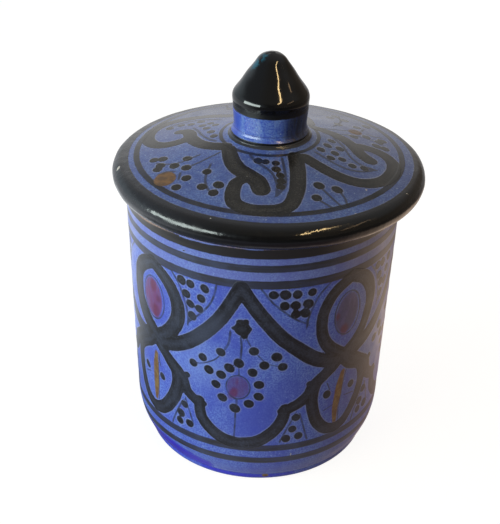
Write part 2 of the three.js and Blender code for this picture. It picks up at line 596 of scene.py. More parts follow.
def paint_panel(paint, draw):
    """One medallion with its flower and berries, and the dotted corners round it."""
    paint.strokes(MEDALLION)
    for tip in LOBE_TIPS:
        paint.dot("ink", tip, radius=1.3)
    for across, up, radius in FLOWER:
        paint.dot("ink", (across, up), radius)
    for points, width in STEMS:
        paint.line(points, width)
    paint.lines(CORNER_LINES, width=0.8)
    for centres, radius in ((BERRIES, 1.97), (UPPER_DOTS, 1.86), (LOWER_DOTS, 1.88)):
        paint.dots(centres, radius, draw)
    paint.dot("heart", HEART, 4.1, tall=1.2)
    paint.dot("stain", (HEART[0] - 1.7, HEART[1] - 3.0), 1.7, tall=1.6, lean=25)
    paint.dot("stain", (HEART[0] - 0.3, HEART[1] + 2.4), 0.5, tall=3.2)
    paint.line(oval(HEART, 4.4, 5.3), width=0.6, closed=True)
    for field, centre, radius in SOFT_PLACES:
        paint.dot(field, centre, radius)


# Columns, each about its own axis. The strokes are the two sides of the ring and of the leaf's frame.
WIDE_COLUMN = {
    "strokes": [
        ([(0, 89.7), (5.7, 86.6), (9.8, 82.6), (12.3, 77), (12.3, 71.5), (10.1, 66.5), (6.2, 61.8),
          (1.7, 58.6), (-3, 55.5)], (5.4, 6.2, 6.4, 6.2, 5.6)),
        ([(0, 89.7), (-6, 86.2), (-9.6, 82), (-10.8, 77), (-11, 73), (-9.8, 68.6), (-6.6, 64), (-1.8, 60),
          (3, 56.2)], (5.4, 6.4, 7.6, 8, 6.2)),
        ([(1, 56.5), (6.3, 51.4), (10.6, 47), (11.3, 42), (10.1, 37), (8.2, 33), (5.2, 28.4), (1.2, 24.7),
          (-3, 23.2)], (5, 5.8, 6, 5.8, 5.2)),
        ([(-1, 56.5), (-4.8, 53.2), (-8.8, 50.6), (-12.7, 46.5), (-13.4, 40.8), (-12.9, 34.8), (-11, 29.3),
          (-7.3, 25), (-3, 23.3)], (5, 5.2, 5.2, 5.2, 5)),
    ],
    "wash": "plum",
    "plum": ((-0.5, 74.4), 5.2, 8.1, 0),
    "stains": [((0.8, 69), 2.2), ((-0.2, 79.6), 1.8), ((2.6, 75), 1.2)],
    "rib": [(-0.4, 49.6), (-0.9, 44), (-1.2, 38), (-1.4, 32), (-1.7, 28)],
    "dots": [(-7.3, 40.4), (2.9, 40.4)],
    "lines": [[(1.2, 48.4), (2.4, 44.8)], [(-9.3, 36.4), (-5.4, 38.2)]],
}
SLIM_COLUMN = {
    "strokes": [
        ([(0.8, 90), (-5.3, 86.5), (-8.9, 82), (-10.6, 77), (-10.8, 72), (-9.8, 67), (-7.2, 62.5),
          (-3, 58.8), (1, 56)], (5, 4.7, 4.6, 5.0, 5)),
        ([(0.8, 90), (7, 87), (10.8, 82), (12, 77), (11.5, 72), (9.4, 66), (5.5, 61), (1, 57.5)],
         (5, 5.8, 5.6, 5, 4.8)),
        ([(0, 57), (-3.8, 53.8), (-7.7, 50.7), (-11.3, 47.2), (-12.6, 40), (-11.4, 33), (-9.3, 28),
          (-5.5, 24), (-0.7, 22.6)], (4.6, 5, 5, 5, 4.8)),
        ([(0, 57), (0.6, 54.5), (4, 51), (10, 47.6), (11.8, 40), (9.8, 33), (6.2, 27.2), (3, 24),
          (-0.7, 22.6)], (4.6, 5, 4.8, 4.6, 4.8)),
    ],
    "wash": "dusk",
    "plum": ((-0.2, 74.7), 5.0, 8.4, 5),
    "stains": [((-1, 67.8), 1.7), ((-4.6, 74.5), 0.9)],
    "rib": [(0.5, 48.6), (-0.6, 43), (-1.1, 38), (-1.7, 32), (-1.6, 25.6)],
    "dots": [(-6.2, 40.4), (5.6, 40.4)],
    "lines": [[(-6.6, 45.8), (-5.2, 42.3)], [(-7.1, 33.1), (-3.2, 34.3)], [(2.4, 36.6), (7.2, 35.8)]],
}
RIB_WIDTHS = (2.0, 3.3, 3.5, 2.9, 1.9)


def paint_column(paint, column, draw):
    """A ring round a plum, over a leaf with an ochre rib in a frame."""
    paint.strokes(column["strokes"])
    centre, wide, tall, lean = column["plum"]
    paint.dot(column["wash"], centre, wide, tall / wide, lean)
    paint.line(oval((centre[0] + 0.3, centre[1]), wide + 0.8, tall + 0.7), closed=True)
    for spot, radius in column["stains"]:
        paint.dot("stain", spot, radius, tall=1.4)
    paint.stroke("ochre", column["rib"], RIB_WIDTHS)
    paint.line([(across + 1.7, up) for across, up in column["rib"]], width=0.45)
    paint.dots(column["dots"], 1.75, draw)
    paint.lines(column["lines"], width=0.5)


# Glaze that ran into pools over the foot, as places and lengths, and that lies on the foot
POOLS = ((-38, 17), (62, 9), (122, 14))
POOL_HEIGHTS = (6.4, 6.2, 5.0)
POOL_WIDTHS = (9.0, 8.4, 4.6)
FOOT_POOL = [(-24, 2.2), (-12, 1.7), (0, 1.6), (16, 1.8)]
FOOT_POOL_WIDTHS = (1.6, 2.0, 1.8, 1.2)
# The glaze's blue edge under the lip, painted paler as a highlight in the lid's shade
GLAZE_EDGE_HIGHLIGHTS = [
    [(-29, 105.8), (-24, 105.6), (-18, 105.7), (-13, 106.2)],
    [(-7.5, 106.2), (-4, 105.8), (0, 105.9)],
]

# Bare clay: the foot's edge, the lip, and the wall under it,
# where the glaze ends in a wave and dips on the left
BARE_FOOT = 0.5
LIP_EDGE = 2.2
EDGE_WAVE = 0.3
DIP_DEPTH = 6.4
DIP_START = 0.58
DIP_REACH = 0.25


def outside_of(turned):
    return turned.row <= turned.regions[1][0]


def paint_pot(turned):
    """The pot's bands, panels and columns, the bare foot and lip, and the plain inside."""
    draw = np.random.default_rng(11)
    outside = outside_of(turned)
    fields = Fields(len(turned.row))
    round_wall = np.where(outside, wrapped(WALL_SCALE * turned.angle, WALL_TURN), FAR_OFF)
    up = np.where(outside, turned.height, FAR_OFF)
    wall = Paint(round_wall, up, fields)
    for limits in BLACK_BANDS:
        wall.band("band", *limits)
    wall.band("top_band", *TOP_BAND)
    # Painted light under the lid
    wall.band("pale", *PAINTED_LIGHT_BAND)
    wall.band("step", *STEP_BAND)
    start = FRONT_COLUMN
    middle = FRONT_COLUMN + FRONT_WIDTH / 2
    for panel, slip in enumerate(PANEL_SLIPS):
        width = FRONT_WIDTH if panel == 0 else OTHER_WIDTH
        from_start = wrapped(round_wall - start, WALL_TURN)
        along = middle + wrapped(from_start - width / 2 - slip, WALL_TURN) * FRONT_WIDTH / width
        paint_panel(Paint(along, up, fields), draw)
        paint_column(Paint(from_start, up, fields), SLIM_COLUMN if panel % 2 else WIDE_COLUMN, draw)
        start += width
    # A painted highlight on the glaze's edge under the lip
    for points in GLAZE_EDGE_HIGHLIGHTS:
        wall.stroke("edge", points, widths=0.6)
    for place, length in POOLS:
        points = zip((place - length, place, place + length), POOL_HEIGHTS)
        wall.stroke("pool", list(points), POOL_WIDTHS)
    wall.stroke("pool", FOOT_POOL, FOOT_POOL_WIDTHS)
    wall.dot("ink", (-27.7, 100.3), 0.6, tall=0.5)
    wall.dot("ochre", (4, 2.0), 1.5, tall=0.5)
    wall.dot("fleck_and_glint", (13.3, 15.2), 0.4, tall=1.6)
    lift = EDGE_WAVE * np.sin(turned.angle)
    dip = np.clip(-np.sin(turned.angle) - DIP_START, 0, DIP_REACH) * DIP_DEPTH
    bare = np.minimum(turned.height - BARE_FOOT, TOP_BAND[1] - lift - dip - turned.height)
    lip = POT_HEIGHT - LIP_EDGE
    fields["clay"] = np.minimum(REACH, np.where(outside, bare, lip - turned.height))
    fields["inside"] = np.where(outside, REACH, turned.height - lip)
    return fields


# The lid's ornament, in millimetres from its axis. A scroll's strokes are its curl and its loop.
FRONT_SCROLL = {
    "strokes": [
        ([(-14.5, -12.5), (-13.9, -16), (-12.8, -20.5), (-10.8, -24.5), (-7.2, -28.3), (-4.2, -31.6),
          (-2.9, -35.7)], (5.0, 5.6, 6.0, 6.2, 6.4, 6.4)),
        ([(-7.5, -29.5), (-11, -31.6), (-12.2, -35.5), (-12.4, -39.5), (-11.2, -43), (-7, -45.6), (-2, -46.2),
          (3, -45.6), (6.6, -43), (8.3, -38.5), (9.2, -34), (9.5, -28), (9.3, -22), (8.9, -17.5)],
         (4.4, 5.2, 5.4, 5.6, 5.4, 5.6, 5.8)),
    ],
    "lines": [
        [(-6.8, -17.4), (-4.9, -20.8), (-2.6, -23.2), (-0.5, -25.3), (0.8, -27.4), (1.8, -30.1), (2.4, -33.5),
         (2.2, -38.5)],
        [(4.1, -19), (4.7, -22.8), (5.2, -27.4), (5.3, -31.2), (4.9, -34.3), (3.5, -36.6), (2.2, -38.7)],
    ],
    "dots": [(-4.1, -20.5), (-1.5, -21.1), (2, -21.7), (2.1, -25), (3.5, -28.2), (3.8, -31.2), (3.6, -34)],
}
RIGHT_SCROLL = {
    "strokes": [
        ([(16.5, 8.5), (20, 7.2), (24.3, 5), (28, 1.6), (30.8, -3), (32.7, -7.2), (35.3, -10.1)],
         (4.4, 5, 5.6, 5.4, 5.6, 6)),
        ([(12.3, -17.2), (16.5, -20.5), (20.5, -23.3), (25, -25.6), (29.5, -26.6), (34, -26), (38.5, -23.3),
          (41.8, -19), (43.8, -13.5), (43.9, -8), (41.5, -3.5), (37.5, -1), (33.5, -0.6), (30.6, -2.2)],
         (5, 5.3, 5.3, 5.2, 5.2, 5.4, 5.2)),
    ],
    "lines": [
        [(16, -12.5), (20, -15.6), (24, -18.4), (28.5, -19.8), (33, -18.9), (37, -16.4)],
        [(23.5, 1.5), (26, -3), (27.2, -7), (29, -11.5), (32, -14.9), (37, -16.4)],
    ],
    "dots": [
        (22.3, -1.5), (25, -6.4), (20.6, -6), (23, -10.6), (18, -10), (21.3, -14.3), (25.4, -13.8),
        (28.8, -16.8), (33, -17),
    ],
}
LEFT_SCROLL = {
    "strokes": [
        ([(-15.5, -10.5), (-20.5, -8.4), (-24.3, -5.8), (-27, -2), (-28.7, 2), (-29.3, 6), (-30.8, 9),
          (-33.3, 9.8)], (4.8, 5, 5, 5, 5, 4.6, 4.2)),
        ([(-29.5, 2), (-31.7, 0.2), (-35.5, -0.7), (-39, -0.4), (-42.4, 2), (-44.6, 6.5), (-44.9, 12),
          (-43.5, 17), (-40.3, 21.5), (-36, 24.3), (-30, 25.4), (-22, 25), (-15.5, 22.5)],
         (4.6, 5, 5, 4.8, 4.6, 5, 5)),
    ],
    "lines": [
        [(-28.2, 11.5), (-26.2, 7), (-24.5, 2), (-22, -2.2), (-19.5, -5)],
        [(-38.5, 17.2), (-33, 20.6), (-26, 20.8), (-19, 18)],
    ],
    "dots": [
        (-37.4, 16), (-33.3, 17.6), (-29.5, 16.8), (-25.8, 18.4), (-25, 12.8), (-22, 14.1), (-23.2, 8.7),
        (-20, 11), (-21.4, 4), (-20.2, -0.6),
    ],
}

LARGE_SPRIG_DOTS = [
    (-40.8, -11.6), (-37.7, -11.9), (-28.8, -14.5), (-33.1, -18.1), (-38.1, -16.4), (-39, -18.8),
    (-28.8, -20.5), (-28.4, -26.9), (-31.5, -31.6), (-21.5, -24.6), (-22.8, -32.8), (-17.2, -32.6),
    (-18.8, -36.6),
]
SMALL_SPRIG_DOTS = [(16.5, -31.8), (22.6, -32.7), (15.5, -38.4)]
SPRIG_STEMS = [
    [(-39.4, -14.4), (-36.3, -16.1), (-31.7, -16.5), (-27.8, -14.9), (-24.8, -13.3)],
    [(-26.8, -19.6), (-22.5, -17), (-17.5, -13.7)],
    [(-20.4, -20.6), (-21.4, -24.6), (-21.8, -29.5), (-20.8, -34.2), (-19.5, -36)],
    [(-30.7, -23.6), (-31, -26.6)],
    [(-38.6, -22.4), (-35.8, -21.3), (-33, -21.9)],
    [(17.8, -33.6), (21.1, -38.3), (23.4, -41.2)],
    [(23.8, -34.2), (25, -37), (25.7, -40.4)],
    [(16.8, -39.8), (20.3, -42.6)],
]
SPRIG_BUD = (-35.8, -25.7)
BACK_SPRIG_BUD = (-28.6, -20.2)
BACK_SPRIG_TURN = math.radians(-12)
CHIP = (-53.6, -12.2)
# Pale flecks in the glaze. The one at (-5.7, -16.4) is a painted highlight, a glint on the collar's dark line
FLECKS_AND_GLINT = [(-7.8, -28.7), (6.5, -47.8), (32.7, -30.2), (-5.7, -16.4), (47, -27.5), (-19, -49.5), (28, -44)]

LID_LINE = (47.0, 49.2)
LID_RIM_PAINT = 51.7
LID_RIM_SHIFT = (0.7, -0.4)
COLLAR_LINE = (17.0, 18.4)
COLLAR_DARK = 15.2
ROLL_BARE = -2.0


def top_of(turned):
    return turned.row > turned.regions[0][0]


def paint_scroll(paint, scroll, draw):
    """A broad curl and loop, and the dotted leaf that they hold."""
    paint.strokes(scroll["strokes"])
    paint.lines(scroll["lines"], width=1.1)
    paint.dots(scroll["dots"], 1.6, draw)


def paint_sprigs(paint, bud, radius, draw):
    """A large sprig with a bud and a small one, which the other half of the lid repeats."""
    paint.dots(LARGE_SPRIG_DOTS, 1.85, draw)
    paint.dots(SMALL_SPRIG_DOTS, 1.95, draw)
    paint.lines(SPRIG_STEMS, width=0.95)
    paint.dot("ochre", bud, radius, tall=1.13)


def paint_lid(turned):
    """The lid's rings, scrolls and sprigs, its black roll and its bare underside."""
    draw = np.random.default_rng(5)
    top = top_of(turned)
    fields = Fields(len(turned.row))
    x = np.where(top, turned.radius * np.sin(turned.angle), FAR_OFF)
    y = np.where(top, -turned.radius * np.cos(turned.angle), FAR_OFF)
    turn = math.pi + BACK_SPRIG_TURN
    here = Paint(x, y, fields)
    opposite = Paint(-x, -y, fields)
    back = Paint(x * math.cos(turn) + y * math.sin(turn), y * math.cos(turn) - x * math.sin(turn), fields)
    rings = Paint(x, np.where(top, turned.radius, FAR_OFF), fields)
    rings.band("band", *LID_LINE)
    rings.band("band", *COLLAR_LINE)
    paint_scroll(here, FRONT_SCROLL, draw)
    paint_scroll(opposite, FRONT_SCROLL, draw)
    paint_sprigs(here, SPRIG_BUD, 3.8, draw)
    paint_sprigs(back, BACK_SPRIG_BUD, 2.6, draw)
    paint_scroll(here, RIGHT_SCROLL, draw)
    paint_scroll(here, LEFT_SCROLL, draw)
    # Pale flecks, and one painted glint
    for fleck_and_glint in FLECKS_AND_GLINT:
        radius = draw.uniform(0.15, 0.35)
        here.dot("fleck_and_glint", fleck_and_glint, radius, draw.uniform(1, 2.2), draw.uniform(-60, 60))
    here.dot("fleck_and_glint", CHIP, 0.5, tall=2.4, lean=20)
    roll = LID_RIM_PAINT - np.hypot(x - LID_RIM_SHIFT[0], y - LID_RIM_SHIFT[1])
    collar = turned.radius - COLLAR_DARK
    fields["black"] = np.where(top, np.clip(np.minimum(roll, collar), -REACH, REACH), REACH)
    # Painted sheen: the lid's top greys towards the back, standing in for the pale room reflected there at a
    # grazing angle
    fields["back_sheen"] = np.where(top & (turned.radius < LID_RIM_PAINT), y, 0)
    fields["left"] = np.where(top, -x, 0)
    fields["clay"] = np.where(top, np.minimum(REACH, turned.height - ROLL_BARE), -REACH)
    return fields


# The knob's paint. The wash and the darker edge are a middle and half a width round the neck, in degrees.
CAP_EDGE = 9.5
BEAD_EDGE = 0.9
NECK_LINE = (2.6, 2.9)
NECK_SIDES = [("wash", 85, 62), ("edge", -72, 20)]
TEAL_SPOTS = [((-5.2, -1.8, 25.0), 2.0), ((-3.2, -1.8, 27.8), 1.7)]
TEAL_TALL = 1.5


def paint_knob(turned):
    """A black cap over a blue neck, which a dark wash covers on its right, and a teal patch by the tip."""
    fields = Fields(len(turned.row))
    Paint(turned.angle, turned.height, fields).band("band", *NECK_LINE)
    for field, middle, half in NECK_SIDES:
        away = np.abs(wrapped(turned.angle - math.radians(middle), 2 * math.pi))
        fields[field] = (away - math.radians(half)) * NECK_RADIUS
    fields["black"] = np.minimum(CAP_EDGE - turned.height, turned.height - BEAD_EDGE)
    x = turned.radius * np.sin(turned.angle)
    y = -turned.radius * np.cos(turned.angle)
    for spot, radius in TEAL_SPOTS:
        lift = (turned.height - spot[2]) / TEAL_TALL
        gap = np.sqrt((x - spot[0]) ** 2 + (y - spot[1]) ** 2 + lift**2)
        fields["teal"] = np.minimum(fields["teal"], gap - radius)
    fields["up"] = turned.height
    return fields


# Materials


class Nodes:
    """A tree of nodes, made by short calls that return output sockets."""

    def __init__(self, tree):
        self.tree = tree

    def node(self, kind, **settings):
        node = self.tree.nodes.new("ShaderNode" + kind)
        for name, value in settings.items():
            setattr(node, name, value)
        return node

    def fill(self, socket, value):
        if isinstance(value, bpy.types.NodeSocket):
            self.tree.links.new(value, socket)
        else:
            socket.default_value = value

    def fill_all(self, node, **values):
        """Fills sockets by name, with an underscore for each space."""
        for name, value in values.items():
            self.fill(node.inputs[name.replace("_", " ")], value)

    def math(self, operation, first, second=0.0):
        node = self.node("Math", operation=operation)
        self.fill(node.inputs[0], first)
        self.fill(node.inputs[1], second)
        return node.outputs[0]

    def times(self, first, second):
        return self.math("MULTIPLY", first, second)

    def plus(self, first, second):
        return self.math("ADD", first, second)

    def ramp(self, value, low, high, start=0.0, end=1.0):
        node = self.node("MapRange", interpolation_type="SMOOTHSTEP")
        self.fill_all(node, Value=value, From_Min=low, From_Max=high, To_Min=start, To_Max=end)
        return node.outputs["Result"]

    def mix(self, share, first, second, kind="RGBA"):
        node = self.node("Mix", data_type=kind)
        self.fill_all(node, Factor=share, A=first, B=second)
        return node.outputs["Result"]


class Surface(Nodes):
    """A material with one shader."""

    def __init__(self, name):
        self.material = bpy.data.materials.new(name)
        self.material.use_nodes = True
        super().__init__(self.material.node_tree)
        self.tree.nodes.clear()
        self.shader = self.node("BsdfPrincipled")
        self.tree.links.new(self.shader.outputs[0], self.node("OutputMaterial").inputs["Surface"])
        self.place = self.node("TexCoord").outputs["Object"]

    def set(self, **values):
        self.fill_all(self.shader, **values)

    def field(self, name, output="Fac"):
        return self.node("Attribute", attribute_name=name).outputs[output]

    def fade(self, field, low, high, start=0.0, end=1.0):
        """A share that goes from start to end where a field goes from low to high."""
        return self.ramp(self.field(field), low, high, start, end)

    def noise(self, size, detail, stretch=(1, 1, 1)):
        """Noise from 0 to 1, whose patches are about that many millimetres across."""
        place = self.node("VectorMath", operation="MULTIPLY")
        self.fill(place.inputs[0], self.place)
        self.fill(place.inputs[1], stretch)
        node = self.node("TexNoise")
        self.fill_all(node, Vector=place.outputs[0], Scale=1 / (size * MM), Detail=detail)
        return node.outputs["Fac"]

    def patches(self, size, detail, low, high, start=0.0, end=1.0, stretch=(1, 1, 1)):
        """A share that goes from start to end where noise goes from low to high."""
        return self.ramp(self.noise(size, detail, stretch), low, high, start, end)

    def bristles(self, field, size=0.6, length=14.0):
        """Noise from 0 to 1 in streaks that run along the strokes of a painted field."""
        node = self.node("TexNoise", noise_dimensions="4D")
        across = self.times(self.field(field), MM * length / size)
        self.fill_all(node, Vector=self.place, W=across, Scale=1 / (length * MM), Detail=1.0)
        return node.outputs["Fac"]


def colour(red, green, blue):
    """A colour for a socket, from the numbers 0 to 255 that a screen shows."""
    def linear(value):
        share = value / 255
        return share / 12.92 if share <= 0.04045 else ((share + 0.055) / 1.055) ** 2.4
    return (linear(red), linear(green), linear(blue), 1.0)


BLUE = colour(96, 123, 205)
DEEP_BLUE = colour(64, 77, 186)
PALE_BLUE = colour(128, 152, 222)
LID_BLUE = colour(85, 114, 182)
LID_DEEP_BLUE = colour(63, 79, 146)
LID_PALE_BLUE = colour(132, 154, 194)
NECK_BLUE = colour(74, 108, 190)
NECK_DEEP_BLUE = colour(54, 74, 170)
NECK_PALE_BLUE = colour(140, 168, 208)
POOL_BLUE = colour(44, 34, 196)
# A painted highlight's blue, for the glaze's edge under the lip
EDGE_HIGHLIGHT_BLUE = colour(112, 128, 200)
INK = colour(26, 26, 32)
INK_THIN = colour(62, 68, 88)
LID_INK = colour(22, 22, 22)
LID_INK_THIN = colour(60, 59, 58)
TOP_INK = colour(36, 33, 34)
LINE_INK = colour(50, 56, 80)
BAND_INK = colour(43, 43, 48)
HALO = colour(150, 158, 190)
PLUM = colour(116, 54, 90)
PLUM_PALE = colour(108, 74, 122)
PLUM_DARK = colour(98, 32, 58)
HEART_ROSE = colour(84, 50, 98)
HEART_BLUE = colour(84, 74, 136)
DUSK = colour(62, 55, 96)
DUSK_PALE = colour(80, 71, 126)
OCHRE = colour(130, 104, 62)
OCHRE_DARK = colour(106, 76, 46)
BUD = colour(120, 88, 52)
BUD_DARK = colour(88, 66, 46)
BLACK = colour(8, 8, 10)
# Grey of thin black paint at the roll's inner edge, and of a painted sheen on its sides
RIM_THIN_BLACK_AND_SHEEN = colour(52, 54, 62)
# The grey of the painted sheen on the back of the lid
LID_BACK_SHEEN = colour(96, 98, 106)
# Pale flecks, and a painted glint on the lid
FLECK_AND_GLINT = colour(196, 192, 186)
TEAL = colour(22, 92, 116)
CLAY = colour(166, 138, 128)
CLAY_DARK = colour(132, 108, 99)
CREAM = colour(214, 204, 184)
CREAM_DARK = colour(186, 170, 146)
GLAZE_INDEX = 1.55
RELIEF_DEPTH = 0.12


class Glaze(Surface):
    """A painted glaze: colour, roughness and relief, to which each layer of paint adds its own."""

    def __init__(self, name):
        super().__init__(name)
        self.wander = self.plus(self.shift(2.2, 2.0, 0.3), self.shift(0.6, 1.0, 0.12))
        self.colour = None
        self.roughness = None
        self.relief = None

    def shift(self, size, detail, reach):
        return self.times(self.math("SUBTRACT", self.noise(size, detail), 0.5), reach)

    def inside(self, field, soft=0.14, share=1.0):
        """That share inside a painted field and 0 outside, with the edge that a brush leaves."""
        return self.ramp(self.plus(self.field(field), self.wander), soft, -soft, end=share)

    def blue_ground(self, base, deep, pale, glossy, matt):
        """Blue glaze: cloudy, streaked by the brush and finely grained, with pale specks."""
        self.colour = self.mix(self.patches(14, 3.0, 0.35, 0.68, end=0.7), base, deep)
        self.tint(self.patches(3.2, 3.0, 0.34, 0.7, end=0.28, stretch=(1, 1, 0.16)), pale)
        self.tint(self.patches(0.6, 1.0, 0.35, 0.65, end=0.8), deep)
        self.tint(self.patches(1.0, 1.0, 0.62, 0.8, end=0.7), pale)
        self.roughness = self.patches(6, 3.0, 0.3, 0.75, start=glossy, end=matt)
        self.relief = self.times(self.noise(5, 3.0), 0.5)

    def tint(self, share, paint):
        self.colour = self.mix(share, self.colour, paint)

    def layer(self, share, paint, roughness, height=0.0):
        self.tint(share, paint)
        self.roughness = self.mix(share, self.roughness, roughness, "FLOAT")
        self.relief = self.plus(self.relief, self.times(share, height))

    def brushed_ink(self, field, full, thin):
        """Ink that is thinner in clouds, along the bristles and amid a broad stroke, and darker in grains."""
        body = self.mix(self.patches(7, 3.0, 0.42, 0.75, end=0.55), full, thin)
        body = self.mix(self.ramp(self.bristles(field), 0.42, 0.72, end=0.4), body, thin)
        body = self.mix(self.fade(field, -1.3, -2.5, end=0.4), body, thin)
        body = self.mix(self.patches(0.8, 1.0, 0.4, 0.7, end=0.45), body, BLACK)
        return self.mix(self.patches(0.7, 0.0, 0.6, 0.8, end=0.5), body, thin)

    def thin_lines(self, faintest):
        """Up to 1 along the thin lines, whose sides keep them crisp between the points."""
        off = self.plus(self.field("side"), self.times(self.wander, 0.6))
        across = self.ramp(self.math("ABSOLUTE", off), LINE_WIDTH * 0.66, LINE_WIDTH * 0.3)
        worn = self.patches(3.0, 2.0, 0.35, 0.65, start=faintest, end=0.95)
        return self.times(worn, self.times(across, self.fade("line", 0.9, 0.55)))

    def finish(self):
        bump = self.node("Bump")
        self.fill_all(bump, Strength=1.0, Distance=RELIEF_DEPTH * MM, Height=self.relief)
        self.set(IOR=GLAZE_INDEX, Base_Color=self.colour, Roughness=self.roughness, Normal=bump.outputs[0])
        return self.material


def add_ink(glaze, full, thin, band_ink, faintest, roughness):
    """Thin lines, the bands that the turning wheel streaks, and the ink of the brush with its pale edge."""
    edge = glaze.plus(glaze.field("ink"), glaze.wander)
    glaze.tint(glaze.ramp(edge, 0.6, 0.1, end=0.34), HALO)
    glaze.layer(glaze.thin_lines(faintest), LINE_INK, roughness=0.3, height=0.2)
    cover = glaze.patches(1.1, 2.0, 0.3, 0.75, start=0.9, stretch=(0.1, 0.1, 1))
    band = glaze.mix(glaze.patches(9, 3.0, 0.4, 0.7, end=0.5), band_ink, thin)
    glaze.layer(glaze.times(glaze.inside("band", soft=0.2), cover), band, roughness, height=0.35)
    glaze.layer(glaze.inside("ink"), glaze.brushed_ink("ink", full, thin), roughness, height=0.5)


def add_ochre(glaze, full, dark):
    ochre = glaze.mix(glaze.patches(2.0, 2.0, 0.35, 0.65), full, dark)
    glaze.layer(glaze.inside("ochre", soft=0.3), ochre, roughness=0.34, height=0.2)


def add_plum(glaze):
    """Thin washes that the brush left in upright streaks, with darker stains."""
    streak = glaze.patches(1.7, 2.0, 0.38, 0.68, stretch=(1, 1, 0.3))
    washes = [
        ("plum", 0.85, PLUM, PLUM_PALE),
        ("dusk", 0.85, DUSK, DUSK_PALE),
        ("heart", 0.7, HEART_ROSE, HEART_BLUE),
    ]
    for field, share, full, pale in washes:
        glaze.layer(glaze.inside(field, soft=0.5, share=share), glaze.mix(streak, full, pale), roughness=0.3)
    glaze.layer(glaze.inside("stain", soft=0.8, share=0.65), PLUM_DARK, roughness=0.3)


def add_clay(glaze):
    """Bare earthenware where the glaze stops."""
    clay = glaze.mix(glaze.patches(0.7, 3.0, 0.35, 0.7), CLAY, CLAY_DARK)
    glaze.layer(glaze.inside("clay", soft=0.3), clay, roughness=0.78)


def pot_glaze():
    glaze = Glaze("pot_glaze")
    glaze.blue_ground(BLUE, DEEP_BLUE, PALE_BLUE, glossy=0.28, matt=0.4)
    glaze.tint(glaze.fade("deep", 2.5, -7, end=0.6), DEEP_BLUE)
    glaze.tint(glaze.fade("light", 2.5, -8, end=0.3), PALE_BLUE)
    # Painted light: a paler tint on the blue between the upper bands, where the lid's shade falls
    glaze.tint(glaze.inside("pale", soft=1.5, share=0.25), HALO)
    glaze.layer(glaze.inside("step", soft=0.6, share=0.45), PALE_BLUE, roughness=0.3)
    glaze.layer(glaze.inside("pool", soft=1.5), POOL_BLUE, roughness=0.12)
    add_plum(glaze)
    add_ochre(glaze, OCHRE, OCHRE_DARK)
    add_ink(glaze, INK, INK_THIN, BAND_INK, faintest=0.6, roughness=0.36)
    glaze.tint(glaze.times(glaze.inside("ink"), glaze.fade("thin", 2.5, -6, end=0.6)), INK_THIN)
    glaze.layer(glaze.inside("top_band", soft=0.2), TOP_INK, roughness=0.3, height=0.35)
    glaze.layer(glaze.inside("fleck_and_glint", soft=0.1), FLECK_AND_GLINT, roughness=0.5)
    cream = glaze.mix(glaze.patches(9, 4.0, 0.35, 0.7), CREAM, CREAM_DARK)
    glaze.layer(glaze.inside("inside", soft=0.5), cream, roughness=0.3)
    add_clay(glaze)
    # Painted highlight: the glaze's edge under the lip, paler than the lid's shade would leave it
    glaze.layer(glaze.inside("edge", soft=0.2), EDGE_HIGHLIGHT_BLUE, roughness=0.2)
    return glaze.finish()


def lid_glaze():
    glaze = Glaze("lid_glaze")
    glaze.blue_ground(LID_BLUE, LID_DEEP_BLUE, LID_PALE_BLUE, glossy=0.15, matt=0.26)
    add_ink(glaze, LID_INK, LID_INK_THIN, LID_INK, faintest=0.85, roughness=0.2)
    add_ochre(glaze, BUD, BUD_DARK)
    satin = glaze.patches(4, 2.0, 0.35, 0.7, start=0.08, end=0.2)
    satin = glaze.plus(satin, glaze.fade("left", 0, 36, end=0.1))
    # The roll's black greys where its paint thins at the inner edge; on the roll's left and right sides the
    # grey is a painted sheen
    worn = glaze.fade("black", -0.5, -3, start=0.75, end=0.0)
    worn = glaze.plus(worn, glaze.fade("left", 12, 45, end=0.5))
    worn = glaze.plus(worn, glaze.fade("left", -36, -56, end=0.35))
    dimple = glaze.times(glaze.noise(2.6, 2.0), 0.9)
    glaze.layer(glaze.inside("black"), glaze.mix(worn, BLACK, RIM_THIN_BLACK_AND_SHEEN), satin, dimple)
    # Pale flecks, and one painted glint on the collar's line
    glaze.layer(glaze.inside("fleck_and_glint", soft=0.1), FLECK_AND_GLINT, roughness=0.5)
    # Painted sheen, greyer towards the back of the lid
    glaze.tint(glaze.fade("back_sheen", 8, 38, end=0.5), LID_BACK_SHEEN)
    add_clay(glaze)
    return glaze.finish()


def knob_glaze():
    glaze = Glaze("knob_glaze")
    glaze.blue_ground(NECK_BLUE, NECK_DEEP_BLUE, NECK_PALE_BLUE, glossy=0.16, matt=0.26)
    glaze.tint(glaze.patches(2.4, 2.0, 0.45, 0.7, end=0.3, stretch=(1, 1, 0.2)), NECK_PALE_BLUE)
    glaze.tint(glaze.inside("edge", soft=2.5, share=0.8), NECK_DEEP_BLUE)
    upright = glaze.patches(1.6, 2.0, 0.35, 0.65, start=0.7, end=0.9, stretch=(1, 1, 0.15))
    glaze.layer(glaze.times(glaze.inside("wash", soft=2.5), upright), INK, roughness=0.3)
    glaze.layer(glaze.inside("band", soft=0.2, share=0.5), INK, roughness=0.3)
    glossy = glaze.fade("up", CAP_EDGE + 1, CAP_EDGE + 3, start=0.4, end=0.08)
    glaze.layer(glaze.inside("black"), BLACK, glossy, height=0.5)
    ragged = glaze.patches(1.8, 2.0, 0.38, 0.55, end=0.75)
    glaze.layer(glaze.times(glaze.inside("teal", soft=1.0), ragged), TEAL, roughness=0.14)
    return glaze.finish()


# Stage, in metres

